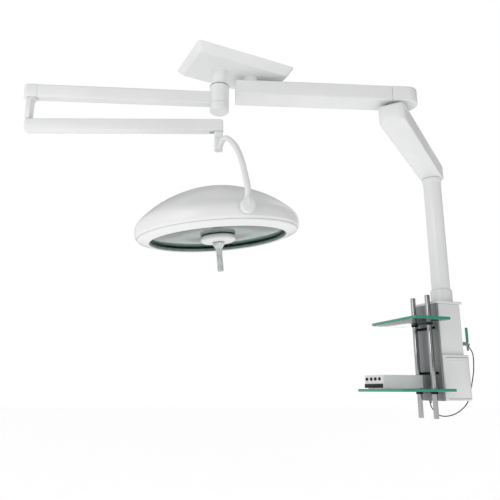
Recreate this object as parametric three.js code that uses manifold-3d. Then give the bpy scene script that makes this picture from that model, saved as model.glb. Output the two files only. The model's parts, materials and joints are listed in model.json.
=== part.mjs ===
// Ceiling-mounted operating light with a tandem equipment pendant.
// Millimetres, +Z up. The origin is the centre of the anchor plate's top face, against the ceiling.
import * as THREE from 'three';
import { mergeVertices } from 'three/addons/utils/BufferGeometryUtils.js';
import Module from 'manifold-3d';

const wasm = await Module();
wasm.setup();

// ---- driving dimensions ----
const GAP = 0.3;
// Faceted shafts turn in faceted bores, so a running fit needs more room than a plain gap.
const RUN = 0.6;
const ROUND = 16;
const DEG = Math.PI / 180;

const COVER = { length: 496, width: 290, faceLength: 452, faceWidth: 222, depth: 38, wall: 3, turn: 27 };
const PLATE = { length: 330, width: 170, thick: 10 };
const AXIS_OFFSET = 82;
const KNUCKLE = { spindle: 9, pin: 6, web: 15, shaft: 8 };

const HUB = { radius: 45, top: -117, seam: -212, bottom: -253 };
const SPINDLE_R = 16;
const LIGHT_ARM = { length: 850, tall: 66, wide: 44, top: -151, wall: 3, turn: 184.5, overhang: 18 };
const SPRING_ARM = { length: 850, tall: 58, wide: 44, top: -323, wall: 2.5, turn: 0.5, nose: 30 };
const YOKE = { turn: -69, seam: -413, stemBottom: -470, stemSide: 38, bowRadius: 11.5 };

// The lamp hangs a little nose-down and rolled, as a hand left it.
const LAMP = { z: -870, radius: 351, glassRadius: 286, wall: 4, pivotUp: 46, dip: 3.2, roll: 6.5 };
const HANDLE = { radius: 13.5, length: 138, neck: 19, plate: 76 };

const BEAM = { length: 707, tall: 78, wide: 116, top: -68, wall: 4, turn: 4.3, rear: 72, overhang: 60 };
const ELBOW_R = 45;
const ARM2 = { length: 814.3, tall: 92, wide: 128, top: -164, wall: 4, turn: 60.3, endCorner: 28 };
const DROP = { radius: 51, bottom: -940 };
const HEAD = { turn: 20, side: 190, left: -117, right: 50, top: -1035, bottom: -1561, seam: -1317 };
const POLE = { radius: 14, x: -150, yNear: -62, yFar: 68, top: -988, bottom: -1653 };
const BRACKETS = { upper: -1169, lower: -1414, radius: 7 };
const UPPER_SHELF = { x0: -344, x1: -120, y0: -206, y1: 212, top: -1126, thick: 15 };
const LOWER_SHELF = { x0: -452, x1: -120, y0: -206, y1: 222, top: -1498, thick: 15 };
const DEVICE = { x0: -430, x1: -172, y0: 0, y1: 186, tall: 73 };

// ---- materials ----
const WHITE = { color: 0xe9ebe9, roughness: 0.42, metalness: 0.0 };
const GREY = { color: 0xa9acac, roughness: 0.5, metalness: 0.3 };
const STEEL = { color: 0xb9bbbc, roughness: 0.28, metalness: 1.0 };
const BLACK = { color: 0x1b1c1d, roughness: 0.55, metalness: 0.0 };
const GLASS = { color: 0x9fd0bf, roughness: 0.08, metalness: 0.0 };
const MIRROR = { color: 0xdfe3e4, roughness: 0.06, metalness: 1.0 };

const model = new THREE.Group();

function station(parent, x, y, turn) {
  const group = new THREE.Group();
  group.position.set(x, y, 0);
  group.rotation.z = turn * DEG;
  parent.add(group);
  return group;
}

// ---- solid helpers ----
function signedVolume(geometry) {
  const p = geometry.attributes.position;
  const index = geometry.index.array;
  const a = new THREE.Vector3();
  const b = new THREE.Vector3();
  const c = new THREE.Vector3();
  let volume = 0;
  for (let i = 0; i < index.length; i += 3) {
    a.fromBufferAttribute(p, index[i]);
    b.fromBufferAttribute(p, index[i + 1]);
    c.fromBufferAttribute(p, index[i + 2]);
    volume += a.dot(b.cross(c)) / 6;
  }
  return volume;
}

function closed(geometry) {
  const bare = geometry.clone();
  for (const name of Object.keys(bare.attributes)) {
    if (name !== 'position') bare.deleteAttribute(name);
  }
  const merged = mergeVertices(bare, 1e-4);
  if (signedVolume(merged) < 0) {
    const index = merged.index.array;
    for (let i = 0; i < index.length; i += 3) {
      const first = index[i];
      index[i] = index[i + 1];
      index[i + 1] = first;
    }
  }
  return merged;
}

function toManifold(geometry) {
  const body = closed(geometry);
  const vertProperties = new Float32Array(body.attributes.position.array);
  const triVerts = new Uint32Array(body.index.array);
  return new wasm.Manifold(new wasm.Mesh({ numProp: 3, vertProperties, triVerts }));
}

function toGeometry(manifold) {
  const mesh = manifold.getMesh();
  const geometry = new THREE.BufferGeometry();
  geometry.setAttribute('position', new THREE.BufferAttribute(new Float32Array(mesh.vertProperties), 3));
  geometry.setIndex(new THREE.BufferAttribute(new Uint32Array(mesh.triVerts), 1));
  return geometry;
}

function cut(base, ...tools) {
  let result = toManifold(base);
  for (const tool of tools) result = result.subtract(toManifold(tool));
  return toGeometry(result);
}

function join(base, ...others) {
  let result = toManifold(base);
  for (const other of others) result = result.add(toManifold(other));
  return toGeometry(result);
}

function common(base, other) {
  return toGeometry(toManifold(base).intersect(toManifold(other)));
}

function add(parent, name, geometry, look) {
  const body = closed(geometry);
  body.computeVertexNormals();
  const mesh = new THREE.Mesh(body, new THREE.MeshStandardMaterial(look));
  mesh.name = name;
  parent.add(mesh);
  return mesh;
}

function boxAt(x0, x1, y0, y1, z0, z1) {
  const box = new THREE.BoxGeometry(x1 - x0, y1 - y0, z1 - z0);
  return box.translate((x0 + x1) / 2, (y0 + y1) / 2, (z0 + z1) / 2);
}

function rod(radius, z0, z1, x = 0, y = 0, sides = ROUND) {
  const cylinder = new THREE.CylinderGeometry(radius, radius, z1 - z0, sides);
  return cylinder.rotateX(Math.PI / 2).translate(x, y, (z0 + z1) / 2);
}

function rodX(radius, x0, x1, y, z, sides = ROUND) {
  const cylinder = new THREE.CylinderGeometry(radius, radius, x1 - x0, sides);
  return cylinder.rotateZ(Math.PI / 2).translate((x0 + x1) / 2, y, z);
}

function rodY(radius, y0, y1, x, z, sides = ROUND) {
  const cylinder = new THREE.CylinderGeometry(radius, radius, y1 - y0, sides);
  return cylinder.translate(x, (y0 + y1) / 2, z);
}

// A solid of revolution about Z from [radius, height] pairs.
function turned(profile, sides = ROUND, x = 0, y = 0) {
  const points = profile.map(([r, z]) => new THREE.Vector2(r, z));
  return new THREE.LatheGeometry(points, sides).rotateX(Math.PI / 2).translate(x, y, 0);
}

// A ring is a closed rectangle profile.
function ring(inner, outer, z0, z1, x = 0, y = 0, sides = ROUND) {
  return turned([[inner, z0], [outer, z0], [outer, z1], [inner, z1], [inner, z0]], sides, x, y);
}

function roundedRect(wide, tall, corner) {
  const w = wide / 2;
  const h = tall / 2;
  const shape = new THREE.Shape();
  shape.moveTo(-w + corner, -h);
  shape.lineTo(w - corner, -h);
  shape.absarc(w - corner, -h + corner, corner, -Math.PI / 2, 0, false);
  shape.lineTo(w, h - corner);
  shape.absarc(w - corner, h - corner, corner, 0, Math.PI / 2, false);
  shape.lineTo(-w + corner, h);
  shape.absarc(-w + corner, h - corner, corner, Math.PI / 2, Math.PI, false);
  shape.lineTo(-w, -h + corner);
  shape.absarc(-w + corner, -h + corner, corner, Math.PI, 1.5 * Math.PI, false);
  return shape;
}

// A rounded bar along X: its section lies in YZ.
function barX(x0, x1, wide, tall, zCentre, corner, steps = 2) {
  const options = { depth: x1 - x0, bevelEnabled: false, curveSegments: steps };
  const bar = new THREE.ExtrudeGeometry(roundedRect(wide, tall, corner), options);
  // extrude runs along +Z: turn Z to X, X to Y and Y to Z
  const turn = new THREE.Matrix4().makeBasis(
    new THREE.Vector3(0, 1, 0), new THREE.Vector3(0, 0, 1), new THREE.Vector3(1, 0, 0));
  return bar.applyMatrix4(turn).translate(x0, 0, zCentre);
}

// A rounded block standing on its outline in XY.
function block(x0, x1, y0, y1, z0, z1, corner, steps = 2) {
  const options = { depth: z1 - z0, bevelEnabled: false, curveSegments: steps };
  const body = new THREE.ExtrudeGeometry(roundedRect(x1 - x0, y1 - y0, corner), options);
  return body.translate((x0 + x1) / 2, (y0 + y1) / 2, z0);
}

function tapered(length, width, endLength, endWidth, zTop, zBottom, corner) {
  const body = block(-length / 2, length / 2, -width / 2, width / 2, zBottom, zTop, corner);
  const p = body.attributes.position;
  for (let i = 0; i < p.count; i += 1) {
    if (p.getZ(i) < (zTop + zBottom) / 2) {
      p.setX(i, p.getX(i) * endLength / length);
      p.setY(i, p.getY(i) * endWidth / width);
    }
  }
  return body;
}

function pathTube(points, radius, sides, steps) {
  const curve = new THREE.CatmullRomCurve3(points.map(([x, y, z]) => new THREE.Vector3(x, y, z)));
  const section = new THREE.Shape();
  for (let i = 0; i < sides; i += 1) {
    const angle = 2 * Math.PI * i / sides;
    const x = radius * Math.cos(angle);
    const y = radius * Math.sin(angle);
    if (i === 0) section.moveTo(x, y);
    else section.lineTo(x, y);
  }
  return new THREE.ExtrudeGeometry(section, { steps, extrudePath: curve, bevelEnabled: false });
}

// ---- ceiling mount ----
function ceilingMount() {
  const mount = station(model, 0, 0, COVER.turn);
  const boltX = PLATE.length / 2 - 18;
  const boltY = PLATE.width / 2 - 18;
  const corners = [[boltX, boltY], [-boltX, boltY], [-boltX, -boltY], [boltX, -boltY]];
  const plate = boxAt(-PLATE.length / 2, PLATE.length / 2, -PLATE.width / 2, PLATE.width / 2, -PLATE.thick, 0);
  const boltHeads = corners.map(([x, y]) => rod(10, -PLATE.thick - 8, -1, x, y, 6));
  add(mount, 'anchor_plate', join(plate, ...boltHeads), STEEL);
  const faceZ = -COVER.depth;
  const outer = tapered(COVER.length, COVER.width, COVER.faceLength, COVER.faceWidth, -0.5, faceZ, 14);
  const inside = COVER.wall * 2;
  const inner = tapered(COVER.length - inside, COVER.width - inside, COVER.faceLength - inside,
    COVER.faceWidth - inside, 1, faceZ + COVER.wall, 12);
  const lightHole = rod(33 + RUN, faceZ - 5, 5, -AXIS_OFFSET, 0);
  const beamHole = rod(40 + RUN, faceZ - 5, 5, AXIS_OFFSET, 0);
  add(mount, 'ceiling_cover', cut(outer, inner, lightHole, beamHole), WHITE);
  const start = -PLATE.thick - GAP;
  add(mount, 'light_column', turned([
    [0, -240], [SPINDLE_R, -240], [SPINDLE_R, HUB.top + 3], [33, HUB.top + 3], [33, start], [0, start]],
    ROUND, -AXIS_OFFSET), WHITE);
  add(mount, 'beam_column', turned([
    [0, -134], [20, -134], [20, BEAM.top + 4], [40, BEAM.top + 4], [40, start], [0, start]],
    ROUND, AXIS_OFFSET), WHITE);
}

const mountX = Math.cos(COVER.turn * DEG) * AXIS_OFFSET;
const mountY = Math.sin(COVER.turn * DEG) * AXIS_OFFSET;

function along(x, y, turn, length) {
  return [x + length * Math.cos(turn * DEG), y + length * Math.sin(turn * DEG)];
}

const TILT_Z = SPRING_ARM.top - SPRING_ARM.tall / 2;
const PIVOT_Z = LAMP.z + LAMP.pivotUp;
const BOW_REACH = LAMP.radius + 20;

const lightAxis = [-mountX, -mountY];
const beamAxis = [mountX, mountY];
const rearAxis = along(...lightAxis, LIGHT_ARM.turn, LIGHT_ARM.length);
const lampAxis = along(...rearAxis, SPRING_ARM.turn, SPRING_ARM.length);
const elbowAxis = along(...beamAxis, BEAM.turn, BEAM.length);
const headAxis = along(...elbowAxis, ARM2.turn, ARM2.length);

// ---- light: extension arm and its hub ----
function lightArm() {
  const arm = station(model, ...lightAxis, LIGHT_ARM.turn);
  const zMid = LIGHT_ARM.top - LIGHT_ARM.tall / 2;
  const bush = SPINDLE_R + RUN;
  add(arm, 'hub_bush', ring(bush, 22, HUB.seam + 2, HUB.top - 2), STEEL);
  const hubBody = ring(22 + GAP, HUB.radius, HUB.seam + GAP, HUB.top);
  const screwHole = rodY(3 + RUN, -HUB.radius - 6, -20, 0, HUB.top - 18, 8);
  add(arm, 'light_hub', cut(hubBody, screwHole), WHITE);
  add(arm, 'spindle_nut', cut(rod(26, -236, -222, 0, 0, 6), rod(bush, -240, -218)), STEEL);
  add(arm, 'hub_cap', turned([
    [0, HUB.bottom], [HUB.radius - 8, HUB.bottom], [HUB.radius, HUB.bottom + 8], [HUB.radius, HUB.seam - GAP],
    [30, HUB.seam - GAP], [30, HUB.bottom + 8], [0, HUB.bottom + 8]]), WHITE);
  const end = LIGHT_ARM.length;
  const outer = barX(30, end - 24, LIGHT_ARM.wide, LIGHT_ARM.tall, zMid, 9);
  const inside = LIGHT_ARM.wall * 2;
  const inner = barX(20, end, LIGHT_ARM.wide - inside, LIGHT_ARM.tall - inside, zMid, 6);
  const saddle = rod(HUB.radius + GAP, HUB.seam - 10, HUB.top + 5);
  add(arm, 'extension_arm', cut(outer, inner, saddle), WHITE);
  const low = LIGHT_ARM.top - LIGHT_ARM.tall;
  const half = LIGHT_ARM.wide / 2;
  const tip = end + LIGHT_ARM.overhang;
  const nose = rod(half, low, LIGHT_ARM.top, tip);
  const neck = boxAt(end - 24 + GAP, tip, -half, half, low, LIGHT_ARM.top);
  const bore = rod(KNUCKLE.spindle + RUN, low - 1, LIGHT_ARM.top - 6, end);
  add(arm, 'arm_end', cut(join(nose, neck), bore), WHITE);
  add(arm, 'hub_brake_screw', rodY(3, -HUB.radius - 5, -24, 0, HUB.top - 18, 8), BLACK);
}

// ---- light: rear knuckle, spring arm, front knuckle ----
function springArm() {
  const arm = station(model, ...rearAxis, SPRING_ARM.turn);
  const armLow = LIGHT_ARM.top - LIGHT_ARM.tall;
  const half = SPRING_ARM.wide / 2;
  const far = SPRING_ARM.length;
  const reach = SPRING_ARM.nose + 1.5;
  const web = KNUCKLE.web / 2;
  const post = block(-half, 4, -half, half, TILT_Z + reach, armLow - 8, 5);
  const washer = rod(20, armLow - 9, armLow - 1);
  const tongue = boxAt(-15, 4, -web, web, TILT_Z - 14, TILT_Z + reach + 3);
  const spindle = rod(KNUCKLE.spindle, armLow - 9, armLow + 44);
  const rearHole = rodY(KNUCKLE.pin + GAP, -20, 20, 0, TILT_Z);
  add(arm, 'rear_knuckle', cut(join(post, washer, tongue, spindle), rearHole), WHITE);

  const inside = SPRING_ARM.wall * 2;
  const outer = barX(-20, far + 20, SPRING_ARM.wide, SPRING_ARM.tall, TILT_Z, 8);
  const inner = barX(-30, far + 30, SPRING_ARM.wide - inside, SPRING_ARM.tall - inside, TILT_Z, 5);
  const slotY = web + 1.5;
  const rearSlot = boxAt(-41, 39, -slotY, slotY, TILT_Z, TILT_Z + 60);
  const frontSlot = boxAt(far - 40, far + 40, -slotY, slotY, TILT_Z - 60, TILT_Z);
  const pins = [0, far].map((x) => rodY(KNUCKLE.pin + GAP, -40, 40, x, TILT_Z));
  // both ends are rounded about their pins, so the arm clears its knuckles as it tilts
  const noses = [[-60, 0, 0], [far, far + 60, far]].map(([x0, x1, centre]) => cut(
    boxAt(x0, x1, -half - 5, half + 5, TILT_Z - 40, TILT_Z + 40),
    rodY(SPRING_ARM.nose, -half - 6, half + 6, centre, TILT_Z, 32)));
  add(arm, 'spring_arm_shell', cut(outer, inner, rearSlot, frontSlot, ...pins, ...noses), WHITE);
  add(arm, 'rear_pivot_pin', rodY(KNUCKLE.pin, -half - 1, half + 1, 0, TILT_Z), STEEL);
  add(arm, 'front_pivot_pin', rodY(KNUCKLE.pin, -half - 1, half + 1, far, TILT_Z), STEEL);

  const guide = rodX(5, 60, 560, 0, TILT_Z, 12);
  const springPlate = rodX(17, 452, 466, 0, TILT_Z);
  add(arm, 'spring_guide_rod', join(guide, springPlate), STEEL);
  const coils = [[6, 90]];
  for (let i = 0; i <= 12; i += 1) {
    coils.push([i % 2 ? 12 : 15, 90 + i * 30]);
  }
  coils.push([6, 450], [6, 90]);
  const spring = turned(coils, 12).rotateY(Math.PI / 2).translate(0, 0, TILT_Z);
  add(arm, 'balance_spring', spring, STEEL);

  const side = YOKE.stemSide / 2;
  const cap = block(far - side, far + side, -side, side, YOKE.seam, TILT_Z - reach, 8);
  const frontTongue = boxAt(far - 15, far + 15, -web, web, TILT_Z - reach - 3, TILT_Z + 14);
  const frontHole = rodY(KNUCKLE.pin + GAP, -20, 20, far, TILT_Z);
  const socket = rod(KNUCKLE.spindle + RUN, YOKE.seam - 5, TILT_Z - 34, far);
  add(arm, 'front_knuckle', cut(join(cap, frontTongue), frontHole, socket), WHITE);
}

// ---- light: yoke with its bow ----
function yoke() {
  const group = station(model, ...lampAxis, YOKE.turn);
  const side = YOKE.stemSide / 2;
  // the stem stands square to the spring arm above it
  const squareUp = (SPRING_ARM.turn - YOKE.turn) * DEG;
  const stem = block(-side, side, -side, side, YOKE.stemBottom, YOKE.seam - 1, 8).rotateZ(squareUp);
  const spindle = rod(KNUCKLE.spindle, YOKE.stemBottom + 10, TILT_Z - 36);
  const boss = rodX(YOKE.bowRadius + 0.4, 0, 22, 0, YOKE.stemBottom + 12);
  add(group, 'yoke_stem', join(stem, spindle, boss), WHITE);

  const housingX = BOW_REACH * Math.cos(LAMP.dip * DEG);
  const housingZ = PIVOT_Z - BOW_REACH * Math.sin(LAMP.dip * DEG);
  const startX = 22 + RUN;
  const startZ = YOKE.stemBottom + 12;
  const bow = pathTube([
    [startX, 0, startZ], [startX + 8, 0, startZ], [50, 0, startZ + 8], [88, 0, startZ + 10],
    [143, 0, startZ - 19], [212, 0, -530], [266, 0, -586], [314, 0, -655], [BOW_REACH - 25, 0, -718],
    [housingX - 2, 0, -768], [housingX, 0, housingZ + 46], [housingX, 0, housingZ + 36]],
    YOKE.bowRadius, 10, 30);
  add(group, 'bow_tube', bow, WHITE);
  const drum = rodX(28, BOW_REACH - 13, BOW_REACH + 13, 0, 0);
  const bore = rodX(KNUCKLE.shaft + RUN, BOW_REACH - 20, BOW_REACH + 8, 0, 0);
  const dipped = [drum, bore].map((shape) => shape.rotateY(LAMP.dip * DEG).translate(0, 0, PIVOT_Z));
  const collar = turned([
    [0, housingZ], [14, housingZ], [17, housingZ + 20], [13.5, housingZ + 36 - RUN],
    [0, housingZ + 36 - RUN]], ROUND, housingX);
  add(group, 'bow_pivot_housing', cut(join(dipped[0], collar), dipped[1]), WHITE);
}

// ---- light: lamp head ----
function lampHead() {
  const tilted = new THREE.Group();
  tilted.position.set(...lampAxis, PIVOT_Z);
  tilted.rotation.set(LAMP.roll * DEG, LAMP.dip * DEG, YOKE.turn * DEG, 'ZYX');
  model.add(tilted);
  // heights below are measured from the lamp's lower edge, which lies pivotUp under the tilt axis
  const head = new THREE.Group();
  head.position.z = -LAMP.pivotUp;
  tilted.add(head);
  const fine = 36;
  const outer = [
    [LAMP.radius - 8, 6], [LAMP.radius - 1, 14], [LAMP.radius, 42], [LAMP.radius - 6, 62],
    [LAMP.radius - 21, 80], [LAMP.radius - 39, 96], [280, 122], [240, 148], [190, 173], [136, 194],
    [78, 208], [0, 215]];
  const crown = LAMP.radius - 38;
  const inner = outer.map(([r, h]) => [Math.max(r - LAMP.wall, 0), h - (r < crown ? LAMP.wall : 0)]);
  const domeShell = turned([...outer, ...inner.reverse(), outer[0]], fine);
  const shaftRoom = rodX(KNUCKLE.shaft + 3, LAMP.radius - 40, LAMP.radius + 10, 0, LAMP.pivotUp);
  add(head, 'lamp_dome', cut(domeShell, shaftRoom), WHITE);

  const edge = LAMP.glassRadius;
  const rimTop = 6 - GAP;
  add(head, 'lamp_rim', turned([
    [edge + 6, -12], [edge + 12, -14], [LAMP.radius - 11, 0], [LAMP.radius - 8, rimTop],
    [edge + 10, rimTop], [edge + 6, -12]], fine), WHITE);
  const sealLip = edge - 4;
  add(head, 'glass_gasket', turned([
    [sealLip, 4], [edge + 5.5, 4], [edge + 5.5, 13], [sealLip, 13], [sealLip, 11.5],
    [edge + 1, 11.5], [edge + 1, 5.5], [sealLip, 5.5], [sealLip, 4]], fine), BLACK);
  add(head, 'front_glass', ring(HANDLE.neck + 1, edge + 0.6, 6, 11, 0, 0, fine), GLASS);

  const mirror = [[92, 46], [150, 60], [210, 74], [250, 84], [286, 44], [298, 18]];
  const mirrorOut = mirror.map(([r, h]) => [r, h + 2.5]);
  const mirrorIn = mirror.map(([r, h]) => [r - 1, h]).reverse();
  add(head, 'reflector', turned([...mirrorOut, ...mirrorIn, mirrorOut[0]], 24), MIRROR);
  add(head, 'heat_filter', ring(66, 70, 14, 74, 0, 0, 24), GLASS);
  const ribs = [0.4, 2.5, 4.6].map((angle) => boxAt(-4, 4, 90, 232, 84, 90).rotateZ(angle));
  add(head, 'lamp_frame', join(ring(40, 86, 75, 83, 0, 0, 24), ring(84, 100, 82, 92, 0, 0, 24), ...ribs), STEEL);
  const clamp = boxAt(LAMP.radius - 32, LAMP.radius - 14, -16, 16, LAMP.pivotUp - 16, LAMP.pivotUp + 12);
  const shaft = rodX(KNUCKLE.shaft, LAMP.radius - 40, BOW_REACH + 6, 0, LAMP.pivotUp);
  add(head, 'pivot_shaft', join(shaft, clamp), STEEL);

  // focusing carriage: holder and bulb
  add(head, 'bulb_holder', turned([[0, 50], [12, 50], [12, 70], [20, 72], [20, 98], [0, 98]]), WHITE);
  add(head, 'bulb', turned([
    [0, 22], [5, 23], [7, 30], [6, 44], [6, 50 - GAP], [0, 50 - GAP]]), GLASS);

  // the handle turns with the focusing plate above it
  const core = 6.5;
  const sleeve = core + 0.5;
  const rimR = HANDLE.plate;
  add(head, 'focus_plate', turned([
    [sleeve, -22], [rimR - 12, -22], [rimR - 2, -14], [rimR, -6], [rimR - 2, 4], [rimR - 6, 4],
    [rimR - 6, -7], [rimR - 15, -17], [HANDLE.neck, -17], [HANDLE.neck, 11], [sleeve, 11],
    [sleeve, -22]], 28), WHITE);
  const low = -10 - HANDLE.length;
  add(head, 'handle_core', rod(core, low + 6, 14), STEEL);
  add(head, 'handle_grip', turned([
    [sleeve, low + 2], [HANDLE.radius - 2, low], [HANDLE.radius, low + 6], [HANDLE.radius - 1, low + 60],
    [HANDLE.radius, -50], [26, -32], [26, -24], [sleeve, -24], [sleeve, low + 2]], 24), GREY);
}

// ---- pendant: main beam ----
function mainBeam() {
  const beam = station(model, ...beamAxis, BEAM.turn);
  const zMid = BEAM.top - BEAM.tall / 2;
  const low = BEAM.top - BEAM.tall;
  const half = BEAM.wide / 2;
  const inside = BEAM.wall * 2;
  const end = BEAM.length;
  const skin = barX(-BEAM.rear, end - 20, BEAM.wide, BEAM.tall, zMid, 9);
  const hollow = barX(half + 6, end, BEAM.wide - inside, BEAM.tall - inside, zMid, 6);
  add(beam, 'main_beam', cut(skin, hollow, rod(30, low - 1, BEAM.top + 1)), WHITE);
  add(beam, 'beam_bearing', ring(20 + RUN, 29.5, low + 8, BEAM.top - 8), STEEL);
  const tip = end + BEAM.overhang;
  const cap = join(rod(half, low, BEAM.top, tip, 0, 32), boxAt(end - 20 + GAP, tip, -half, half, low, BEAM.top));
  add(beam, 'beam_elbow_end', cut(cap, rod(18 + RUN, low - 1, BEAM.top - 8, end)), WHITE);
}

// ---- pendant: second arm ----
function secondArm() {
  const arm = station(model, ...elbowAxis, ARM2.turn);
  const beamLow = BEAM.top - BEAM.tall;
  const zMid = ARM2.top - ARM2.tall / 2;
  const bottom = ARM2.top - ARM2.tall;
  const half = ARM2.wide / 2;
  const far = ARM2.length;
  const inside = ARM2.wall * 2;
  const bar = barX(-half, far + half, ARM2.wide, ARM2.tall, zMid, 12);
  const outline = block(-half, far + half, -half, half, bottom - 1, ARM2.top + 1, ARM2.endCorner, 3);
  const farWall = far + half - ARM2.wall;
  const bay = barX(-half + 20, farWall, ARM2.wide - inside, ARM2.tall - inside, zMid, 8);
  const bayOutline = block(-half, farWall, -half + ARM2.wall, half - ARM2.wall, bottom - 1, ARM2.top + 1,
    ARM2.endCorner - ARM2.wall, 3);
  const room = common(bay, bayOutline);
  const tubeHole = rod(DROP.radius + 2 * RUN, bottom - 5, bottom + ARM2.wall + 2, far, 0, 24);
  const shaftHole = rod(17 + RUN, zMid, ARM2.top + 5);
  add(arm, 'second_arm', cut(common(bar, outline), room, shaftHole, tubeHole), WHITE);
  add(arm, 'elbow_shaft', turned([
    [0, zMid - 20], [17, zMid - 20], [17, ARM2.top + GAP], [ELBOW_R, ARM2.top + GAP],
    [ELBOW_R, beamLow - GAP], [18, beamLow - GAP], [18, BEAM.top - 14], [0, BEAM.top - 14]]), GREY);
}

// ---- pendant: drop tube and the service head's housings ----
function serviceHead(head) {
  const armLow = ARM2.top - ARM2.tall;
  const half = HEAD.side / 2;
  const bottom = HEAD.bottom;
  const under = HEAD.top - GAP;
  const tube = DROP.radius;
  add(head, 'drop_tube', turned([
    [tube - 5, DROP.bottom + GAP], [tube, DROP.bottom + GAP], [tube, armLow - 24],
    [tube + 5, armLow - 22], [tube + 5, armLow - 2], [tube, armLow - 2], [tube, armLow + 12],
    [tube + 7, armLow + 12], [tube + 7, armLow + 24], [tube - 5, armLow + 24],
    [tube - 5, DROP.bottom + GAP]], 24), WHITE);
  const collar = turned([
    [0, HEAD.top + 5], [tube + 7, HEAD.top + 5], [tube + 9, DROP.bottom - 60], [tube + 9, DROP.bottom - 6],
    [tube + 4, DROP.bottom], [0, DROP.bottom]], 24);
  const { left, right } = HEAD;
  const topPlate = block(left, right + 12, -half, half, HEAD.top, HEAD.top + 14, 10);
  add(head, 'head_top_plate', join(topPlate, collar), WHITE);

  const core = boxAt(left + 10, right - 30, -half + 42, half - 4, bottom + 10, under);
  const gland = rod(7, bottom - 14, bottom + 20, GLAND.x, GLAND.y);
  add(head, 'service_column', join(core, gland), GREY);
  const panelX = left + 10;
  const grey = block(left, panelX - GAP, -half, half + 17, bottom, under, 4);
  add(head, 'grey_side_panel', grey, GREY);
  const backY = -half + 42 - GAP;
  const upper = block(panelX, right, -half + 8, backY, HEAD.seam + GAP, under, 6);
  add(head, 'upper_housing', upper, WHITE);
  const cheek = block(right - 30 + GAP, right, -half + 42, half - 4, bottom + 10, under, 4);
  add(head, 'right_side_panel', cheek, WHITE);

  const frontY = -half - 14;
  const boxRight = right + 12;
  const box = block(panelX, boxRight, frontY, backY, bottom, HEAD.seam, 8);
  const room = boxAt(panelX + 10, boxRight - 10, frontY - 6, -half + 28, bottom + 10, HEAD.seam - 14);
  add(head, 'lower_housing', cut(box, room), WHITE);
  const doorTop = HEAD.seam - 16;
  const door = boxAt(panelX + 10 + GAP, boxRight - 10 - GAP, frontY, frontY + 6, bottom + 12, doorTop);
  const pull = boxAt(panelX + 40, boxRight - 40, frontY - 1, frontY + 3, doorTop - 10, doorTop - 5);
  add(head, 'service_door', cut(door, pull), WHITE);
}

// ---- pendant: poles, glass shelves and the device on the lower one ----
function poleShelves(head) {
  const panelX = HEAD.left - GAP;
  const poleY = [POLE.yNear, POLE.yFar];
  add(head, 'pole_near', rod(POLE.radius, POLE.bottom, POLE.top, POLE.x, POLE.yNear), STEEL);
  add(head, 'pole_far', rod(POLE.radius, POLE.bottom, POLE.top, POLE.x, POLE.yFar), STEEL);
  for (const level of ['upper', 'lower']) {
    const z = BRACKETS[level];
    const stubs = poleY.map((y) => rodX(BRACKETS.radius, POLE.x, panelX, y, z, 12));
    const bores = poleY.map((y) => rod(POLE.radius + GAP, z - 20, z + 20, POLE.x, y));
    const rail = boxAt(panelX - 6, panelX, POLE.yNear, POLE.yFar, z - BRACKETS.radius, z + BRACKETS.radius);
    add(head, `pole_bracket_${level}`, cut(join(rail, ...stubs), ...bores), BLACK);
  }
  for (const [level, shelf] of [['upper', UPPER_SHELF], ['lower', LOWER_SHELF]]) {
    const z0 = shelf.top - shelf.thick;
    const plate = block(shelf.x0, shelf.x1, shelf.y0, shelf.y1, z0, shelf.top, 5, 3);
    const holes = poleY.map((y) => rod(POLE.radius + 3, z0 - 1, shelf.top + 1, POLE.x, y));
    add(head, `${level}_glass_shelf`, cut(plate, ...holes), GLASS);
    const collars = poleY.map((y) => rod(POLE.radius + 5, z0 - 13, z0 - GAP, POLE.x, y));
    const sleeves = poleY.map((y) => rod(POLE.radius + 0.5, z0 - 40, z0 + 9, POLE.x, y));
    const tie = boxAt(POLE.x - 6, POLE.x + 6, POLE.yNear, POLE.yFar, z0 - 8, z0 - GAP);
    add(head, `${level}_shelf_clamp`, cut(join(tie, ...collars), ...sleeves), BLACK);
  }
  const { x0, x1, y0, y1, tall } = DEVICE;
  const seat = LOWER_SHELF.top + GAP;
  const feet = 5;
  const top = seat + tall;
  const feetPad = boxAt(x0 + 14, x1 - 14, y0 + 14, y1 - 14, seat, seat + feet + 1);
  const caseBody = block(x0 + 4, x1, y0, y1, seat + feet, top, 3);
  add(head, 'device_case', join(caseBody, feetPad), WHITE);
  const front = boxAt(x0, x0 + 4 - GAP, y0 + 3, y1 - 3, seat + feet, top - 2);
  const sockets = [0.16, 0.38, 0.6, 0.84].map((t) => rodX(
    8, x0 - 4, x0 + 2, y0 + t * (y1 - y0), seat + 52));
  add(head, 'device_front', join(front, ...sockets), BLACK);
}

// ---- pendant: side glass, its clip and the service cable ----
function sideFittings(head) {
  const { x, y } = CLIP;
  add(head, 'side_glass_tag', boxAt(x - 10.7, x - 4, y - 8, y + 8, -1242, -1161), GLASS);
  const clipArm = boxAt(HEAD.right + GAP, x - 5, y - 5, y + 5, -1262, -1242 - GAP);
  const clipFoot = boxAt(x - 12, x - 5, y - 5, y + 5, -1290, -1250);
  const nozzle = rod(6, -1262, -1250, x, y);
  const nozzleArm = boxAt(x - 8, x + 2, y - 5, y + 5, -1262, -1254);
  add(head, 'side_clip', join(clipArm, clipFoot, nozzle, nozzleArm), GREY);
  add(head, 'side_cable', pathTube(CABLE, 2.8, 8, 44), BLACK);
}

const CLIP = { x: 108, y: -61 };
const GLAND = { x: -75, y: 77 };
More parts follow.
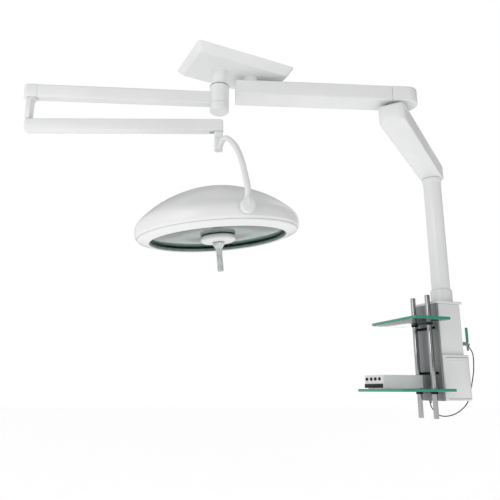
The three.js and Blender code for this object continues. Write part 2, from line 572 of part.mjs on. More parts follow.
// Route of the service cable in the head's own frame, from the clip's nozzle to the gland under the column.
const CABLE = [
  [CLIP.x, CLIP.y, -1262.6], [CLIP.x, CLIP.y, -1269], [CLIP.x + 10, CLIP.y, -1282],
  [CLIP.x + 22, CLIP.y, -1306], [CLIP.x + 25, CLIP.y + 2, -1348], [CLIP.x + 21, CLIP.y + 5, -1400],
  [CLIP.x + 13, CLIP.y + 10, -1445], [CLIP.x + 3, CLIP.y + 15, -1490], [CLIP.x - 8, CLIP.y + 20, -1530],
  [82, -38, -1572], [44, -36, -1606], [0, -25, -1632], [-35, -2, -1643], [-58, 25, -1640],
  [GLAND.x + 5, 50, -1622], [GLAND.x, 68, -1600], [GLAND.x, GLAND.y, -1586],
  [GLAND.x, GLAND.y, HEAD.bottom - 14 - GAP]];

ceilingMount();
lightArm();
springArm();
yoke();
lampHead();
mainBeam();
secondArm();
const pendantHead = station(model, ...headAxis, HEAD.turn);
serviceHead(pendantHead);
poleShelves(pendantHead);
sideFittings(pendantHead);

export default model;
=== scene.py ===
# A ceiling-mounted operating light and its equipment pendant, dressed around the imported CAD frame.
# Metres, in the CAD model's frame. Sizes repeat the CAD's; places come from its joints and boxes.
import json
import math
import bmesh
import bpy
from mathutils import Matrix, Vector


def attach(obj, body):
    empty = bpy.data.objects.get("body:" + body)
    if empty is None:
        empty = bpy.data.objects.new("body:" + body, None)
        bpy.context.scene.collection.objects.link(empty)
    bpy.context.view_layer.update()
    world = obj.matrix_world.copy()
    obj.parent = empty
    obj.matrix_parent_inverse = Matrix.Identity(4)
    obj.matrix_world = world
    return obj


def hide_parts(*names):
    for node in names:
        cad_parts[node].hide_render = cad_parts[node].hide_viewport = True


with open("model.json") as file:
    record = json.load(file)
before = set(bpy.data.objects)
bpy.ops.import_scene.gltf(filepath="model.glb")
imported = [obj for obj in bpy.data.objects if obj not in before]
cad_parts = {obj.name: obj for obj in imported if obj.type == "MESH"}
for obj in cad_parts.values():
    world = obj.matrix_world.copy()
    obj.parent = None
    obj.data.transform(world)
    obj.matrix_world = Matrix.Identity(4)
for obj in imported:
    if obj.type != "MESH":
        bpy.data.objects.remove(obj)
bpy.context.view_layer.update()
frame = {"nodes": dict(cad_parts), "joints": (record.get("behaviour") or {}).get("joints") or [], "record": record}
joints = {j["name"]: j for j in frame["joints"]}

MM = 0.001
SHARP_EDGE = math.radians(32)
SAME_POINT = 1e-7
LAMP_PIVOT_UP = 46.0


# ---------------------------------------------------------------- places
def pivot(name):
    return Vector(joints[name]["pos_m"])


def heading(vector):
    return math.atan2(vector[1], vector[0])


def station(point, turn):
    return Matrix.Translation((point[0], point[1], 0)) @ Matrix.Rotation(turn, 4, "Z")


light_axis = pivot("light_arm_swivel")
rear_axis = pivot("spring_base_swivel")
lamp_axis = pivot("yoke_swivel")
beam_axis = pivot("beam_swivel")
elbow_axis = pivot("elbow_swivel")
head_axis = pivot("head_swivel")

AT_MOUNT = station((0, 0), heading(beam_axis - light_axis))
AT_BEAM_COLUMN = station(beam_axis, 0)
AT_LIGHT = station(light_axis, heading(rear_axis - light_axis))
AT_REAR = station(rear_axis, heading(lamp_axis - rear_axis))
AT_LAMP = station(lamp_axis, heading(joints["lamp_tilt"]["axis"]))
AT_STEM = station(lamp_axis, heading(lamp_axis - rear_axis))
AT_BEAM = station(beam_axis, heading(elbow_axis - beam_axis))
AT_ELBOW = station(elbow_axis, heading(head_axis - elbow_axis))
AT_HEAD = station(head_axis, heading(joints["door_fold"]["axis"]))


def lamp_place():
    """The lamp's own frame: X along its tilt axis, Z along its handle, heights from its lower edge."""
    x_axis = Vector(joints["lamp_tilt"]["axis"]).normalized()
    z_axis = Vector(joints["handle_turn"]["axis"]).normalized()
    y_axis = z_axis.cross(x_axis)
    turn = Matrix((x_axis, y_axis, z_axis)).transposed().to_4x4()
    return Matrix.Translation(pivot("lamp_tilt")) @ turn @ Matrix.Translation((0, 0, -LAMP_PIVOT_UP * MM))


AT_TILTED_LAMP = lamp_place()


# ---------------------------------------------------------------- camera, floor, light
CAMERA_PLACE = Vector((0.0705, -2.384, -1.505))
CAMERA_PITCH = math.radians(14.2)
CAMERA_LENS = 39.9
FLOOR_Z = -2.75
# Each light's name, place, size in metres and power in watts.
AREA_LIGHTS = (("key", (-2.6, -3.4, 0.2), 2.2, 34), ("rim", (0.5, 3.0, 0.9), 3.0, 8))
LIGHTS_AIM = Vector((0, 0, -0.8))


def make_camera():
    data = bpy.data.cameras.new("camera")
    data.lens = CAMERA_LENS
    data.sensor_width = 36.0
    data.clip_end = 60
    camera = bpy.data.objects.new("camera", data)
    bpy.context.scene.collection.objects.link(camera)
    camera.location = CAMERA_PLACE
    camera.rotation_euler = (math.pi / 2 + CAMERA_PITCH, 0, 0)
    bpy.context.scene.camera = camera


make_camera()


# ---------------------------------------------------------------- materials
def node_material(name, colour, roughness, metallic=0.0):
    material = bpy.data.materials.new(name)
    material.use_nodes = True
    shader = material.node_tree.nodes["Principled BSDF"]
    shader.inputs["Base Color"].default_value = (*colour, 1)
    shader.inputs["Roughness"].default_value = roughness
    shader.inputs["Metallic"].default_value = metallic
    return material, material.node_tree, shader


def noise(tree, scale, detail=3.0, stretch=(1, 1, 1)):
    coords = tree.nodes.new("ShaderNodeTexCoord")
    mapping = tree.nodes.new("ShaderNodeMapping")
    mapping.inputs["Scale"].default_value = stretch
    texture = tree.nodes.new("ShaderNodeTexNoise")
    texture.inputs["Scale"].default_value = scale
    texture.inputs["Detail"].default_value = detail
    tree.links.new(coords.outputs["Object"], mapping.inputs["Vector"])
    tree.links.new(mapping.outputs["Vector"], texture.inputs["Vector"])
    return texture


def vary(tree, shader, texture, low, high, socket):
    ramp = tree.nodes.new("ShaderNodeMapRange")
    ramp.inputs["From Min"].default_value = 0.3
    ramp.inputs["From Max"].default_value = 0.7
    ramp.inputs["To Min"].default_value = low
    ramp.inputs["To Max"].default_value = high
    tree.links.new(texture.outputs["Fac"], ramp.inputs["Value"])
    tree.links.new(ramp.outputs["Result"], shader.inputs[socket])


def tint(tree, shader, texture, first, second):
    ramp = tree.nodes.new("ShaderNodeValToRGB")
    ramp.color_ramp.elements[0].position = 0.35
    ramp.color_ramp.elements[1].position = 0.65
    ramp.color_ramp.elements[0].color = (*first, 1)
    ramp.color_ramp.elements[1].color = (*second, 1)
    tree.links.new(texture.outputs["Fac"], ramp.inputs["Fac"])
    tree.links.new(ramp.outputs["Color"], shader.inputs["Base Color"])


def bump(tree, shader, texture, strength, distance):
    node = tree.nodes.new("ShaderNodeBump")
    node.inputs["Strength"].default_value = strength
    node.inputs["Distance"].default_value = distance
    tree.links.new(texture.outputs["Fac"], node.inputs["Height"])
    tree.links.new(node.outputs["Normal"], shader.inputs["Normal"])


def enamel():
    material, tree, shader = node_material("white_enamel", (0.80, 0.81, 0.80), 0.36)
    tint(tree, shader, noise(tree, 5.0), (0.785, 0.797, 0.79), (0.82, 0.828, 0.82))
    vary(tree, shader, noise(tree, 26.0), 0.30, 0.42, "Roughness")
    bump(tree, shader, noise(tree, 420.0, 2.0), 0.10, 0.0004)
    shader.inputs["Coat Weight"].default_value = 0.22
    shader.inputs["Coat Roughness"].default_value = 0.16
    return material


def brushed(name, colour, roughness, metallic, stretch):
    material, tree, shader = node_material(name, colour, roughness, metallic)
    grain = noise(tree, 60.0, 6.0, stretch)
    darker = tuple(0.86 * c for c in colour)
    tint(tree, shader, grain, darker, colour)
    vary(tree, shader, grain, roughness * 0.75, roughness * 1.3, "Roughness")
    bump(tree, shader, grain, 0.12, 0.0002)
    return material


def polymer(name, colour, roughness):
    material, tree, shader = node_material(name, colour, roughness)
    tint(tree, shader, noise(tree, 30.0), colour, tuple(1.35 * c for c in colour))
    vary(tree, shader, noise(tree, 90.0), roughness * 0.85, roughness * 1.15, "Roughness")
    bump(tree, shader, noise(tree, 900.0, 1.0), 0.18, 0.0003)
    shader.inputs["Specular IOR Level"].default_value = 0.25
    return material


def glass(name, colour, roughness, transmission=1.0):
    material, tree, shader = node_material(name, colour, roughness)
    tint(tree, shader, noise(tree, 4.0), tuple(0.97 * c for c in colour), colour)
    vary(tree, shader, noise(tree, 12.0), roughness * 0.6, roughness * 1.4, "Roughness")
    shader.inputs["IOR"].default_value = 1.5
    shader.inputs["Transmission Weight"].default_value = transmission
    return material


WHITE = enamel()
GREY = brushed("grey_anodised", (0.30, 0.31, 0.315), 0.42, 0.45, (1, 1, 0.05))
STEEL = brushed("polished_steel", (0.42, 0.425, 0.43), 0.10, 1.0, (1, 1, 0.04))
BLACK = polymer("black_polymer", (0.005, 0.005, 0.006), 0.5)
GRIP = polymer("soft_grip", (0.52, 0.54, 0.53), 0.5)
GLASS = glass("clear_glass", (0.86, 0.97, 0.93), 0.04)
GLASS_EDGE = glass("glass_edge", (0.05, 0.36, 0.25), 0.18, 0.2)
LENS = glass("lamp_glass", (0.42, 0.62, 0.56), 0.05)
# Dark green-grey for the ring lining the rim's recess: painted shade of the recess, tinted green like the lamp
# glass.
RECESS_PAINTED_SHADE = polymer("lamp_recess_painted_shade", (0.20, 0.28, 0.26), 0.4)
MIRROR = brushed("mirror_reflector", (0.20, 0.27, 0.25), 0.18, 1.0, (1, 1, 1))
FILTER = glass("heat_filter", (0.78, 0.90, 0.85), 0.3, 0.5)

LOOKS = {
    "white_enamel": WHITE, "grey_anodised": GREY, "polished_steel": STEEL, "black_polymer": BLACK,
    "clear_glass": GLASS, "mirror_reflector": MIRROR, "soft_grip": GRIP}
SLOT_OF = {s["node"]: s["material_slot"] for s in frame["record"]["subparts"]}


# ---------------------------------------------------------------- mesh helpers
def add_object(name, bm):
    """Puts a finished bmesh into the scene as a new object."""
    mesh = bpy.data.meshes.new(name)
    bm.to_mesh(mesh)
    bm.free()
    added = bpy.data.objects.new(name, mesh)
    bpy.context.scene.collection.objects.link(added)
    return added


def finish_mesh(name, bm, material, place, body, nodes):
    """Smooths a mesh, moves it to its place, hangs it on its body and hides the CAD nodes it stands for."""
    bmesh.ops.remove_doubles(bm, verts=bm.verts, dist=SAME_POINT)
    bmesh.ops.recalc_face_normals(bm, faces=bm.faces)
    for face in bm.faces:
        face.smooth = True
    for edge in bm.edges:
        edge.smooth = len(edge.link_faces) != 2 or edge.calc_face_angle(0) < SHARP_EDGE
    bmesh.ops.transform(bm, matrix=place, verts=bm.verts)
    piece = add_object(name, bm)
    piece.data.materials.append(material)
    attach(piece, body)
    if nodes:
        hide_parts(*nodes)
    return piece


def fillet(points, radius, steps=4, loop=False):
    """Rounds the inner corners of an outline of 2-D points."""
    result = []
    count = len(points)
    for i, point in enumerate(points):
        here = Vector(point)
        if not loop and i in (0, count - 1):
            result.append(here)
            continue
        before = Vector(points[i - 1])
        after = Vector(points[(i + 1) % count])
        back = before - here
        ahead = after - here
        reach = min(radius, 0.45 * back.length, 0.45 * ahead.length)
        start = here + back.normalized() * reach
        end = here + ahead.normalized() * reach
        for k in range(steps + 1):
            t = k / steps
            result.append(start * (1 - t) ** 2 + here * 2 * t * (1 - t) + end * t ** 2)
    return result


def lathe(bm, profile, sides=96, shift=(0, 0, 0), axis="Z", radius=0.002, loop=False):
    """A surface of revolution from (radius, height) pairs in millimetres."""
    outline = fillet([(r * MM, z * MM) for r, z in profile], radius, loop=loop)
    turn = Matrix.Identity(4) if axis == "Z" else Matrix.Rotation(math.pi / 2, 4, axis)
    move = Matrix.Translation(Vector(shift) * MM) @ turn
    rings = []
    for r, z in outline:
        if r < 1e-6:
            rings.append([bm.verts.new(move @ Vector((0, 0, z)))])
            continue
        rings.append([bm.verts.new(move @ Vector((
            r * math.cos(2 * math.pi * i / sides), r * math.sin(2 * math.pi * i / sides), z)))
            for i in range(sides)])
    pairs = list(zip(rings, rings[1:]))
    if loop:
        pairs.append((rings[-1], rings[0]))
    for low, high in pairs:
        for i in range(sides):
            k = (i + 1) % sides
            corners = [low[i % len(low)], low[k % len(low)], high[k % len(high)], high[i % len(high)]]
            unique = list(dict.fromkeys(corners))
            if len(unique) > 2:
                bm.faces.new(unique)


def turned(name, profile, material, place, body, nodes=(), slot=None, sides=96, radius=2.0, loop=False,
           shift=(0, 0, 0), axis="Z"):
    bm = bmesh.new()
    lathe(bm, profile, sides, shift, axis, radius * MM, loop)
    return finish_mesh(name, bm, material, place, body, nodes)


def rounded_outline(x0, x1, y0, y1, corner, steps=6):
    points = []
    for cx, cy, start in ((x1 - corner, y0 + corner, -90), (x1 - corner, y1 - corner, 0),
                          (x0 + corner, y1 - corner, 90), (x0 + corner, y0 + corner, 180)):
        for k in range(steps + 1):
            angle = math.radians(start + 90 * k / steps)
            points.append((cx + corner * math.cos(angle), cy + corner * math.sin(angle)))
    return points


def prism(bm, outline, z0, z1, lip=2.0, steps=3, turn=None, taper=(1, 1), top_lip=None):
    """An upright prism in millimetres whose lower and upper end edges are rounded by lip and top_lip."""
    turn = turn or Matrix.Identity(4)
    cx = (min(p[0] for p in outline) + max(p[0] for p in outline)) / 2
    cy = (min(p[1] for p in outline) + max(p[1] for p in outline)) / 2
    spread_x = max(abs(p[0] - cx) for p in outline)
    spread_y = max(abs(p[1] - cy) for p in outline)
    upper = lip if top_lip is None else top_lip
    angles = [math.pi / 2 * k / steps for k in range(steps + 1)]
    levels = [(z0 + lip * (1 - math.sin(a)), lip * (1 - math.cos(a))) for a in reversed(angles)]
    levels += [(z1 - upper * (1 - math.sin(a)), upper * (1 - math.cos(a))) for a in angles]
    rings = []
    for z, inset in levels:
        low = (z1 - z) / (z1 - z0)
        tx = 1 + (taper[0] - 1) * low
        ty = 1 + (taper[1] - 1) * low
        sx = (spread_x - inset) / spread_x * tx
        sy = (spread_y - inset) / spread_y * ty
        rings.append([bm.verts.new(turn @ (Vector((cx + (x - cx) * sx, cy + (y - cy) * sy, z)) * MM))
                      for x, y in outline])
    count = len(outline)
    for low_ring, high_ring in zip(rings, rings[1:]):
        for i in range(count):
            k = (i + 1) % count
            bm.faces.new((low_ring[i], low_ring[k], high_ring[k], high_ring[i]))
    bm.faces.new(list(reversed(rings[0])))
    bm.faces.new(rings[-1])


def slab(name, x, y, z, corner, material, place, body, nodes=(), lip=2.0, taper=(1, 1)):
    """A block with rounded upright corners and rounded ends."""
    bm = bmesh.new()
    prism(bm, rounded_outline(x[0], x[1], y[0], y[1], corner), z[0], z[1], lip, taper=taper)
    return finish_mesh(name, bm, material, place, body, nodes)


# Turns a prism that stands on XY so that it runs along X instead.
LIE_ALONG_X = Matrix(((0, 0, 1, 0), (1, 0, 0, 0), (0, 1, 0, 0), (0, 0, 0, 1)))


def bar(name, x, wide, z, corner, material, place, body, nodes=(), lip=2.0):
    """A bar along X with a rounded section, wide across Y."""
    bm = bmesh.new()
    outline = rounded_outline(-wide / 2, wide / 2, z[0], z[1], corner)
    prism(bm, outline, x[0], x[1], lip, turn=LIE_ALONG_X)
    return finish_mesh(name, bm, material, place, body, nodes)


def rod(bm, radius, start, end, sides=48, lip=0.6):
    """A round bar between two points in millimetres, with its end edges broken."""
    a = Vector(start)
    b = Vector(end)
    length = (b - a).length
    turn = Matrix.Translation(a * MM) @ (b - a).to_track_quat("Z", "Y").to_matrix().to_4x4()
    outline = [(radius * math.cos(2 * math.pi * i / sides), radius * math.sin(2 * math.pi * i / sides))
               for i in range(sides)]
    prism(bm, outline, 0, length, lip, turn=turn)


def cut_holes(piece, cutters):
    """Cuts a closed mesh by others and throws those away."""
    for cutter in cutters:
        modifier = piece.modifiers.new("hole", "BOOLEAN")
        modifier.operation = "DIFFERENCE"
        modifier.solver = "EXACT"
        modifier.object = cutter
    bpy.context.view_layer.update()
    depsgraph = bpy.context.evaluated_depsgraph_get()
    mesh = bpy.data.meshes.new_from_object(piece.evaluated_get(depsgraph))
    piece.modifiers.clear()
    old = piece.data
    piece.data = mesh
    bpy.data.meshes.remove(old)
    for cutter in cutters:
        bpy.data.objects.remove(cutter)


def cutter(radius, start, end, place, sides=64):
    """A throw-away round bar for cutting."""
    bm = bmesh.new()
    rod(bm, radius, start, end, sides, 0.01)
    bmesh.ops.transform(bm, matrix=place, verts=bm.verts)
    return add_object("cutter", bm)


def tube_points(points, count):
    """A smooth Catmull-Rom curve through points, with count steps between each two of them."""
    p = [Vector(q) for q in points]
    p = [2 * p[0] - p[1]] + p + [2 * p[-1] - p[-2]]
    result = []
    for i in range(1, len(p) - 2):
        for k in range(count):
            t = k / count
            result.append(0.5 * (2 * p[i] + (p[i + 1] - p[i - 1]) * t
                          + (2 * p[i - 1] - 5 * p[i] + 4 * p[i + 1] - p[i + 2]) * t * t
                          + (3 * p[i] - 3 * p[i + 1] + p[i + 2] - p[i - 1]) * t ** 3))
    result.append(p[-2])
    return result


def sweep(bm, points, radius, sides):
    """A closed round tube along points, all in metres."""
    rings = []
    side = None
    for i, point in enumerate(points):
        ahead = points[min(i + 1, len(points) - 1)]
        behind = points[max(i - 1, 0)]
        tangent = (ahead - behind).normalized()
        if side is None:
            side = tangent.orthogonal().normalized()
        side = (side - tangent * side.dot(tangent)).normalized()
        other = tangent.cross(side)
        rings.append([bm.verts.new(point + radius * (side * math.cos(a) + other * math.sin(a)))
                      for a in (2 * math.pi * k / sides for k in range(sides))])
    for low, high in zip(rings, rings[1:]):
        for i in range(sides):
            k = (i + 1) % sides
            bm.faces.new((low[i], low[k], high[k], high[i]))
    bm.faces.new(list(reversed(rings[0])))
    bm.faces.new(rings[-1])


# ---------------------------------------------------------------- the service cable
CLIP_X, CLIP_Y = 108, -61
GLAND_X, GLAND_Y = -75, 77
CABLE = [
    (CLIP_X, CLIP_Y, -1262.6), (CLIP_X, CLIP_Y, -1269), (CLIP_X + 10, CLIP_Y, -1282),
    (CLIP_X + 22, CLIP_Y, -1306), (CLIP_X + 25, CLIP_Y + 2, -1348), (CLIP_X + 21, CLIP_Y + 5, -1400),
    (CLIP_X + 13, CLIP_Y + 10, -1445), (CLIP_X + 3, CLIP_Y + 15, -1490), (CLIP_X - 8, CLIP_Y + 20, -1530),
    (82, -38, -1572), (44, -36, -1606), (0, -25, -1632), (-35, -2, -1643), (-58, 25, -1640),
    (GLAND_X + 5, 50, -1622), (GLAND_X, 68, -1600), (GLAND_X, GLAND_Y, -1586), (GLAND_X, GLAND_Y, -1575.3)]
CABLE_RADIUS = 2.8 * MM


def service_cable():
    """The cable from the side clip down and round to the gland."""
    path = [AT_HEAD @ (Vector(p) * MM) for p in CABLE]
    route = tube_points(path, 10)
    bm = bmesh.new()
    sweep(bm, route, CABLE_RADIUS, 16)
    piece = finish_mesh("service_cable", bm, BLACK, Matrix.Identity(4), "service_head",
                        ("side_cable",))


service_cable()


# ---------------------------------------------------------------- ceiling mount
COVER_LENGTH, COVER_WIDTH = 496, 290
COVER_FACE_LENGTH, COVER_FACE_WIDTH = 452, 222


def ceiling_mount():
    half_x, half_y = COVER_LENGTH / 2, COVER_WIDTH / 2
    bm = bmesh.new()
    prism(bm, rounded_outline(-half_x, half_x, -half_y, half_y, 14), -38, -0.6, 3.0,
          taper=(COVER_FACE_LENGTH / COVER_LENGTH, COVER_FACE_WIDTH / COVER_WIDTH))
    finish_mesh("ceiling_cover_shell", bm, WHITE, AT_MOUNT, "mount", ("ceiling_cover",))
    at_light = station(light_axis, 0)
    turned("light_column_tube", [(0, -240), (16, -240), (16, -114), (33, -114), (33, -12), (0, -12)],
           WHITE, at_light, "mount", ("light_column",), "white_enamel", radius=1.5)
    turned("light_column_collar", [(33, -42), (39, -42), (40, -39), (40, -37.5), (33, -37.5)],
           WHITE, at_light, "mount", (), "white_enamel", radius=1.0)
    turned("beam_column_tube", [(0, -134), (20, -134), (20, -64), (40, -64), (40, -12), (0, -12)], WHITE,
           AT_BEAM_COLUMN, "mount", ("beam_column",), "white_enamel", radius=1.5)


# ---------------------------------------------------------------- light: hub and extension arm
ARM_HEIGHTS = (-217, -151)


def rounded_end(straight_x, centre_x, half, steps=28):
    """A plan outline that starts square and ends in a half circle."""
    arc = [(centre_x + half * math.sin(a), -half * math.cos(a))
           for a in (math.pi * k / steps for k in range(1, steps))]
    return [(straight_x, -half), (centre_x, -half)] + arc + [(centre_x, half), (straight_x, half)]


def extension_arm():
    turned("hub_shell", [(22.4, -117), (45, -117), (45, -211.5), (22.4, -211.5)], WHITE, AT_LIGHT, "light_arm",
           ("light_hub",), "white_enamel", radius=1.6, loop=True)
    turned("hub_seam_ring", [(44, -117.2), (45.8, -118), (45.8, -122), (44, -123)], GREY, AT_LIGHT, "light_arm",
           (), "grey_anodised", radius=0.5)
    turned("hub_cap_shell", [(0, -253), (36, -253), (45, -245), (45, -212.6), (30, -212.6), (30, -245),
                             (0, -245)], WHITE, AT_LIGHT, "light_arm", ("hub_cap",), "white_enamel", radius=2.0)
    piece = bar("extension_arm_tube", (26, 825.7), 44, ARM_HEIGHTS, 9, WHITE, AT_LIGHT, "light_arm",
                ("extension_arm",), lip=0.8)
    cut_holes(piece, [cutter(45.4, (0, 0, -240), (0, 0, -100), AT_LIGHT)])
    bm = bmesh.new()
    prism(bm, rounded_end(826.3, 868, 22), *ARM_HEIGHTS, 5.0)
    finish_mesh("extension_arm_end", bm, WHITE, AT_LIGHT, "light_arm", ("arm_end",))
    bm = bmesh.new()
    rod(bm, 4.6, (0, -50.5, -135), (0, -44.5, -135), 24, 0.5)
    rod(bm, 2.2, (0, -51.2, -135), (0, -50.4, -135), 6, 0.1)
    finish_mesh("hub_brake_screw_head", bm, STEEL, AT_LIGHT, "light_arm", ("hub_brake_screw",))


# ---------------------------------------------------------------- light: spring arm
TILT_Z = -352
ARM_REACH = 850
NOSE = 30
PIN_RADIUS = 6
# Stands an outline drawn in XY upright, so that its Y becomes height.
STAND_UP = Matrix(((1, 0, 0, 0), (0, 0, -1, 0), (0, 1, 0, 0), (0, 0, 0, 1)))


def spring_arm_outline():
    """Side view of the arm's cover: straight, with both ends rounded about their pins."""
    low, high = math.asin(22.4 / NOSE), math.asin(29 / NOSE)
    arc = [(NOSE * math.cos(a), NOSE * math.sin(a)) for a in (low + (high - low) * k / 5 for k in range(6))]
    front = [(ARM_REACH + x, -y) for x, y in reversed(arc)] + [(ARM_REACH + x, y) for x, y in arc]
    rear = [(-x, y) for x, y in reversed(arc)] + [(-x, -y) for x, y in arc]
    return [(x, y + TILT_Z) for x, y in front + rear]


def box_tool(place, *boxes):
    """A throw-away closed mesh of boxes for cutting."""
    bm = bmesh.new()
    for x0, x1, y0, y1, z0, z1 in boxes:
        prism(bm, rounded_outline(x0, x1, y0, y1, 3), z0, z1, 0.2)
    bmesh.ops.transform(bm, matrix=place, verts=bm.verts)
    return add_object("cutter", bm)


def spring_arm():
    bm = bmesh.new()
    prism(bm, rounded_outline(-22, 4, -22, 22, 5), -320.5, -222, 2.0)
    prism(bm, rounded_outline(-15, 4, -7.5, 7.5, 2), -366, -318, 1.0)
    rod(bm, 20, (0, 0, -226), (0, 0, -218), 64, 1.5)
    finish_mesh("rear_knuckle_block", bm, WHITE, AT_REAR, "spring_base", ("rear_knuckle",))
    bm = bmesh.new()
    prism(bm, spring_arm_outline(), -22, 22, 7.0, 4, turn=STAND_UP)
    shell = finish_mesh("spring_arm_cover", bm, WHITE, AT_REAR, "spring_arm", ("spring_arm_shell",))
    cut_holes(shell, [box_tool(AT_REAR, (-41, 39, -9, 9, -353, -300), (810, 890, -9, 9, -404, -351))])
    for end, x, body in (("rear", 0, "spring_base"), ("front", ARM_REACH, "spring_arm")):
        bm = bmesh.new()
        for side in (-1, 1):
            rod(bm, PIN_RADIUS, (x, side * 21.0, TILT_Z), (x, side * 22.5, TILT_Z), 40, 0.4)
        finish_mesh(f"{end}_pivot_caps", bm, WHITE, AT_REAR, body, (f"{end}_pivot_pin",))
    bm = bmesh.new()
    prism(bm, rounded_outline(831, 869, -19, 19, 8), -413, -383.5, 0.8, top_lip=1.5)
    prism(bm, rounded_outline(835, 865, -7.5, 7.5, 2), -387, -338, 1.0)
    finish_mesh("front_knuckle_block", bm, WHITE, AT_REAR, "front_knuckle", ("front_knuckle",))


# ---------------------------------------------------------------- light: yoke
REACH = 371.0
PIVOT_Z = -824.0
DIP = -math.asin(joints["lamp_tilt"]["axis"][2])
HOUSING_X = REACH * math.cos(DIP)
HOUSING_Z = PIVOT_Z - REACH * math.sin(DIP)
BOW_START_Z = -458
BOW_RADIUS = 11.5
DRUM_RADIUS, DRUM_HALF = 28, 13
BOW = [(22.6, 0, BOW_START_Z), (30.6, 0, BOW_START_Z), (50, 0, BOW_START_Z + 8), (88, 0, BOW_START_Z + 10),
       (143, 0, BOW_START_Z - 19), (212, 0, -530), (266, 0, -586), (314, 0, -655), (REACH - 25, 0, -718),
       (HOUSING_X - 2, 0, -768), (HOUSING_X, 0, HOUSING_Z + 46), (HOUSING_X, 0, HOUSING_Z + 36)]


def yoke():
    bm = bmesh.new()
    prism(bm, rounded_outline(-19, 19, -19, 19, 8), -470, -413.8, 5.0, 4, top_lip=0.8)
    away = heading(joints["lamp_tilt"]["axis"]) - heading(lamp_axis - rear_axis)
    tip = Vector((math.cos(away), math.sin(away), 0))
    rod(bm, 11.9, tip * 12 + Vector((0, 0, BOW_START_Z)), tip * 22 + Vector((0, 0, BOW_START_Z)), 40, 1.5)
    finish_mesh("yoke_stem_body", bm, WHITE, AT_STEM, "yoke", ("yoke_stem",))
    bm = bmesh.new()
    sweep(bm, tube_points([Vector(p) * MM for p in BOW], 10), BOW_RADIUS * MM, 40)
    finish_mesh("bow_tube_smooth", bm, WHITE, AT_LAMP, "yoke", ("bow_tube",))
    bm = bmesh.new()
    dip = Matrix.Rotation(DIP, 4, "Y")
    inner = dip @ Vector((REACH - DRUM_HALF, 0, 0)) + Vector((0, 0, PIVOT_Z))
    outer = dip @ Vector((REACH + DRUM_HALF, 0, 0)) + Vector((0, 0, PIVOT_Z))
    rod(bm, DRUM_RADIUS, inner, outer, 80, 2.5)
    lathe(bm, [(0, HOUSING_Z), (14, HOUSING_Z), (17, HOUSING_Z + 22), (13.5, HOUSING_Z + 35.4),
               (0, HOUSING_Z + 35.4)], 64, (HOUSING_X, 0, 0), "Z", 1.5 * MM)
    finish_mesh("bow_pivot_drum", bm, WHITE, AT_LAMP, "yoke", ("bow_pivot_housing",))


# ---------------------------------------------------------------- light: lamp head
DOME = [(343, 6), (350, 14), (351, 42), (345, 62), (330, 80), (312, 96), (280, 122), (240, 148), (190, 173),
        (136, 194), (78, 208), (0, 215)]
DOME_WALL = 4
MIRROR_PROFILE = [(92, 46), (150, 60), (210, 74), (250, 84), (286, 44), (298, 18)]


def lamp_head():
    def part(name, profile, material, nodes, slot, body="lamp", **shape):
        return turned(name, profile, material, AT_TILTED_LAMP, body, nodes, slot, **shape)

    # The lower part of the dome stands nearly upright, so its inner side is only moved inward.
    inner = [(max(r - DOME_WALL, 0), h - (DOME_WALL if r < 313 else 0)) for r, h in reversed(DOME)]
    part("lamp_dome_shell", DOME + inner, WHITE, ("lamp_dome",), "white_enamel", sides=192, radius=18)
    part("lamp_rim_band", [(292, -12), (298, -14), (340, 0), (343, 5.7), (335, 5.7), (296, 5.7)], WHITE,
         ("lamp_rim",), "white_enamel", sides=192, radius=3, loop=True)
    # This ring's dark green-grey is painted shade inside the rim's recess, not the colour of the part.
    part("lamp_recess_shade_ring", [(289, -9), (291.3, -9), (291.3, 1.6), (289, 1.6)], RECESS_PAINTED_SHADE, (), "grey_anodised",
         sides=192, radius=0.5, loop=True)
    part("lamp_seal", [(277, 2), (291.3, 2), (291.3, 13), (277, 13), (277, 11.6), (287, 11.6), (287, 5.4),
                       (277, 5.4)], BLACK, ("glass_gasket",), "black_polymer", sides=192, radius=0.8, loop=True)
    part("lamp_front_glass", [(20, 6), (286.5, 6), (286.5, 11), (20, 11)], LENS, ("front_glass",),
         "clear_glass", sides=192, radius=0.6, loop=True)
    front = [(r - 1, h) for r, h in MIRROR_PROFILE]
    back = [(r, h + 2.5) for r, h in reversed(MIRROR_PROFILE)]
    part("lamp_reflector", front + back, MIRROR, ("reflector",), "mirror_reflector", sides=160, radius=10,
         loop=True)
    part("heat_filter_glass", [(66, 14), (70, 14), (70, 74), (66, 74)], FILTER, ("heat_filter",), "clear_glass",
         radius=0.8, loop=True)
    part("focus_plate_cover", [
        (7, -22), (64, -22), (74, -14), (76, -6), (74, 4), (70, 4), (70, -7), (61, -17), (19, -17), (19, 11),
        (7, 11)], WHITE, ("focus_plate",), "white_enamel", body="handle", radius=2.5, loop=True)
    part("sterile_handle_grip", [
        (7, -146), (11.5, -148), (13.5, -142), (12.5, -88), (13.5, -50), (26, -32), (26, -24), (7, -24)], GRIP,
        ("handle_grip",), "soft_grip", body="handle", sides=64, radius=3, loop=True)
    part("bulb_envelope", [(0, 22), (5, 23), (7, 30), (6, 44), (6, 49), (0, 49)], FILTER, ("bulb",),
         "clear_glass", body="bulb_carriage", sides=40, radius=1.5)
    part("bulb_socket", [(0, 50), (12, 50), (12, 70), (20, 72), (20, 98), (0, 98)], WHITE, ("bulb_holder",),
         "white_enamel", body="bulb_carriage", sides=48, radius=1.2)


# ---------------------------------------------------------------- pendant: beams
BEAM_WIDTH = 116
BEAM_HEIGHTS = (-146, -68)


